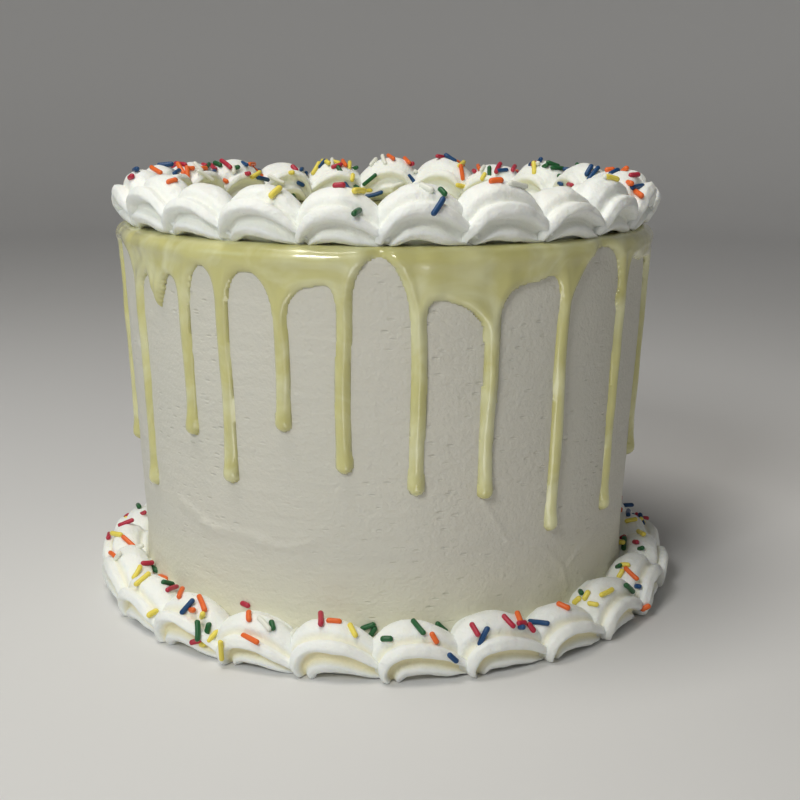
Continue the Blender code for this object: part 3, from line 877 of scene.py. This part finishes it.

# %% Piped icing: white on the ridges, painted shade in the valleys, a sugary skin
def piped_icing(name, valley_shade_colour, valley_shade_share):
    """Material of piped shells; painted shade of the given colour is laid in the valleys, by the share
    given.
    """
    material, tree, shader = new_material(name)
    place = node(tree, "ShaderNodeTexCoord").outputs["Object"]
    clouds = node(tree, "ShaderNodeTexNoise", {"Vector": place, "Scale": 40.0, "Detail": 2.0})
    ridge = node(tree, "ShaderNodeMix", {"Factor": clouds.outputs["Fac"], "A": srgb(245, 250, 249),
                                         "B": srgb(247, 249, 242)}, data_type="RGBA")
    # Painted shade: the deeper in a valley, the more the colour turns to the shade colour.
    depth = node(tree, "ShaderNodeAttribute", attribute_name="valley_shade")
    painted_valley_shade = node(tree, "ShaderNodeMapRange", {"Value": depth.outputs["Fac"], "From Min": 0.25,
                                             "From Max": 1.0, "To Min": 0.0,
                                             "To Max": valley_shade_share})
    colour = node(tree, "ShaderNodeMix", {"Factor": painted_valley_shade.outputs["Result"],
                                          "A": ridge.outputs["Result"],
                                          "B": srgb(*valley_shade_colour)}, data_type="RGBA")
    grain = node(tree, "ShaderNodeGroup", node_tree=grain_group)
    grain.inputs["Lump Size"].default_value = 300.0
    grain.inputs["Grain Size"].default_value = 1300.0
    grain.inputs["Sparkle"].default_value = 0.35
    bump = node(tree, "ShaderNodeBump", {"Height": grain.outputs["Height"], "Strength": 0.9,
                                         "Distance": 0.6 * MM})
    tree.links.new(colour.outputs["Result"], shader.inputs["Base Color"])
    tree.links.new(grain.outputs["Roughness"], shader.inputs["Roughness"])
    tree.links.new(bump.outputs["Normal"], shader.inputs["Normal"])
    soften(shader, 0.25, 3 * MM)
    return material


# Painted shade in the valleys: greyish on the rim, yellow at the foot.
put_on(top_shells, piped_icing("rim_icing", (234, 234, 220), 0.5))
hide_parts("top_border")
put_on(base_shells, piped_icing("foot_icing", (242, 232, 184), 0.8))
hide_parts("base_border")

# %% Glaze: yellow with paler clouds, wet and a little lumpy
glaze_material, tree, shader = new_material("white_chocolate")
place = node(tree, "ShaderNodeTexCoord").outputs["Object"]
clouds = node(tree, "ShaderNodeTexNoise", {"Vector": place, "Scale": 45.0, "Detail": 3.0,
                                           "Distortion": 1.2})
cloudy = node(tree, "ShaderNodeMapRange", {"Value": clouds.outputs["Fac"], "From Min": 0.42,
                                           "From Max": 0.66})
colour = node(tree, "ShaderNodeMix", {"Factor": cloudy.outputs["Result"], "A": srgb(209, 204, 136),
                                      "B": srgb(226, 224, 174)}, data_type="RGBA")
ripples = node(tree, "ShaderNodeTexNoise", {"Vector": place, "Scale": 120.0, "Detail": 0.0})
bump = node(tree, "ShaderNodeBump", {"Height": ripples.outputs["Fac"], "Strength": 0.8,
                                     "Distance": 1.5 * MM})
tree.links.new(colour.outputs["Result"], shader.inputs["Base Color"])
tree.links.new(bump.outputs["Normal"], shader.inputs["Normal"])
shader.inputs["Roughness"].default_value = 0.3
shader.inputs["Coat Weight"].default_value = 1.0
shader.inputs["Coat Roughness"].default_value = 0.05
soften(shader, 0.2, 2 * MM)
put_on(glaze, glaze_material)
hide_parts("cake")

# %% Sprinkles: six waxy colours
SPRINKLE_COLOURS = {"blue": (0, 66, 118), "green": (20, 92, 46), "orange": (236, 106, 36),
                    "crimson": (182, 34, 62), "yellow": (238, 220, 92), "white": (234, 236, 226)}
for name, tint in SPRINKLE_COLOURS.items():
    material, tree, shader = new_material(f"{name}_sugar")
    place = node(tree, "ShaderNodeTexCoord").outputs["Object"]
    clouds = node(tree, "ShaderNodeTexNoise", {"Vector": place, "Scale": 220.0, "Detail": 1.0})
    lighter = tuple(c + (1 - c) * 0.03 for c in srgb(*tint)[:3]) + (1,)
    colour = node(tree, "ShaderNodeMix", {"Factor": clouds.outputs["Fac"], "A": srgb(*tint),
                                          "B": lighter}, data_type="RGBA")
    tree.links.new(colour.outputs["Result"], shader.inputs["Base Color"])
    shader.inputs["Roughness"].default_value = 0.35
    shader.inputs["Specular IOR Level"].default_value = 0.35
    put_on(sprinkle_pieces[name], material)
    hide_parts("top_border", "base_border")

# %% [markdown]
# ## Floor, light and picture
#
# The cake stands on a plain pale floor that curves up into a round backdrop, so every side
# has the same calm surroundings. The key light comes from the front left and falls off round
# the wall, a cool window fills the left, and a lamp above models the shells. A strip near the
# floor lights only gloss: it gives the thin bright lines that a wet drip shows.

# %% Floor and backdrop
floor_bm = bmesh.new()
backdrop = [(0, 0), (0.8, 0), (1.4, 0), (1.55, 0.04), (1.66, 0.14), (1.7, 0.3), (1.7, 1.0)]
corners = [floor_bm.verts.new((0, -radius, height)) for radius, height in backdrop]
line = [floor_bm.edges.new(pair) for pair in zip(corners, corners[1:])]
bmesh.ops.spin(floor_bm, geom=corners + line, axis=(0, 0, 1), cent=(0, 0, 0),
               angle=math.tau, steps=96, use_merge=True)
bmesh.ops.remove_doubles(floor_bm, verts=floor_bm.verts, dist=0.01 * MM)
bmesh.ops.recalc_face_normals(floor_bm, faces=floor_bm.faces)
away = [face for face in floor_bm.faces
        if face.normal.z < -0.5 or face.normal.dot(face.calc_center_median()) > 0.5]
bmesh.ops.reverse_faces(floor_bm, faces=away)
floor = finish_piece("floor", floor_bm)
floor_material, tree, shader = new_material("pale_floor")
shader.inputs["Base Color"].default_value = srgb(222, 222, 223)
shader.inputs["Roughness"].default_value = 0.7
floor.data.materials.append(floor_material)


# %% Soft lights
AIM = Vector((0, 0, 90 * MM))


def soft_light(name, place, size, watts, tint):
    """A square lamp that looks at the middle of the cake and isn't seen itself."""
    data = bpy.data.lights.new(name, "AREA")
    data.size = size
    data.energy = watts
    data.color = srgb(*tint)[:3]
    lamp = bpy.data.objects.new(name, data)
    bpy.context.scene.collection.objects.link(lamp)
    lamp.location = place
    lamp.rotation_euler = (AIM - lamp.location).to_track_quat("-Z", "Y").to_euler()
    lamp.visible_camera = False
    return lamp


soft_light("key", (-0.46, -0.88, 0.8), 0.3, 5.6, (253, 252, 247))
soft_light("window", (-0.95, -0.4, 0.5), 0.4, 0.4, (180, 232, 255))
soft_light("above", (-0.25, -0.15, 1.1), 0.45, 5.3, (255, 250, 240))
soft_light("side", (0.9, -0.6, 0.4), 0.8, 0.1, (255, 240, 226))
strip = soft_light("gloss_strip", (0.02, -0.42, 0.012), 0.06, 0.22, (255, 255, 255))
strip.data.shape = "RECTANGLE"
strip.data.size_y = 0.5
strip.rotation_euler = (math.pi, 0, 0)
strip.visible_diffuse = False
world = bpy.data.worlds.new("surroundings")
world.use_nodes = True
sky = world.node_tree.nodes["Background"]
sky.inputs["Color"].default_value = srgb(216, 214, 212)
sky.inputs["Strength"].default_value = 0.11
bpy.context.scene.world = world
bpy.context.scene.view_settings.view_transform = "Standard"
